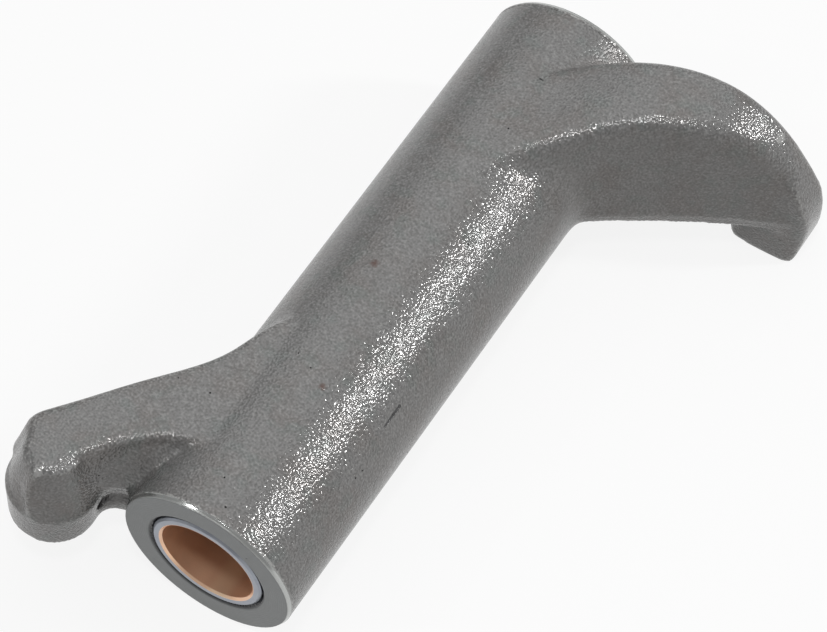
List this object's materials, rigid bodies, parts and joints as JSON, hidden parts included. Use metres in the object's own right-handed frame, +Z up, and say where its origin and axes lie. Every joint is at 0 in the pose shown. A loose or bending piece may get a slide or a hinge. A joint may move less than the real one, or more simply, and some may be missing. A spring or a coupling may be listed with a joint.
{
  "type": "rocker arm",
  "caption": "Forged steel engine rocker arm: long bushed shaft tube, short pushrod arm with ball socket, hooked valve arm with crowned pad.",
  "frame": {"origin": "on the shaft axis, halfway between the two thrust faces", "axes": "+Y along the shaft from the pushrod end to the valve end, +X to the valve side, +Z up as the arm lies on a bench on its tube and valve pad"},
  "size_m": [0.0715, 0.1072, 0.0295],
  "materials": {
    "forged_steel": "shot-blasted forging, dull grey, turned end faces",
    "bush_steel": "bright machined",
    "bush_bronze": "reamed bearing bronze"
  },
  "bodies": {
    "root": {"rocker_body": "forged_steel", "pushrod_end_bush_shell": "bush_steel", "pushrod_end_bush_lining": "bush_bronze", "valve_end_bush_shell": "bush_steel", "valve_end_bush_lining": "bush_bronze"}
  },
  "joints": []
}
